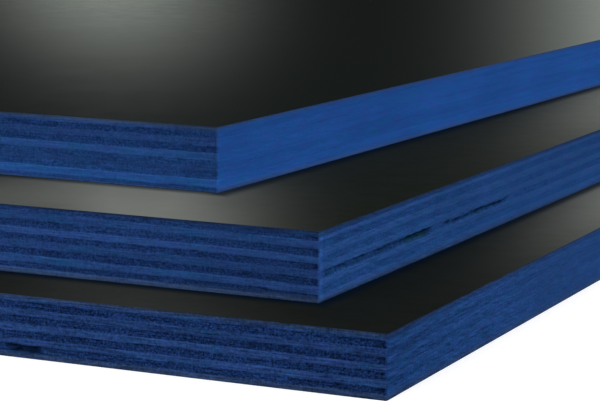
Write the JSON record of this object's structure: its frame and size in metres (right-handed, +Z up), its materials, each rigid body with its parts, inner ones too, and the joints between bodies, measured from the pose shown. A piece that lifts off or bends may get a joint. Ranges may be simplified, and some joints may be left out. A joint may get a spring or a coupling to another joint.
{
  "type": "stack of film-faced plywood sheets",
  "caption": "Stack of full-size film-faced plywood sheets with sealed blue edges, each set back from the sheet below so that the layered edges step down in a corner.",
  "frame": {"origin": "under the middle of the stack's bounding box, on the bottom face of the bottom sheet", "axes": "+X along the bottom sheet's length towards the stepped corner's end, +Y across its width away from the stepped long side, +Z up through the thickness"},
  "size_m": [2.5764, 1.3998, 0.052],
  "materials": {
    "phenolic_film": "very dark brown-black phenolic film pressed onto the plywood's faces, semi-matt",
    "edge_sealer": "blue acrylic edge sealer soaked into sawn veneer edges, satin on the long grain and matt on the end grain"
  },
  "bodies": {
    "root": {"sheet_bottom": "phenolic_film", "sheet_middle": "phenolic_film", "sheet_top": "phenolic_film"}
  },
  "joints": []
}
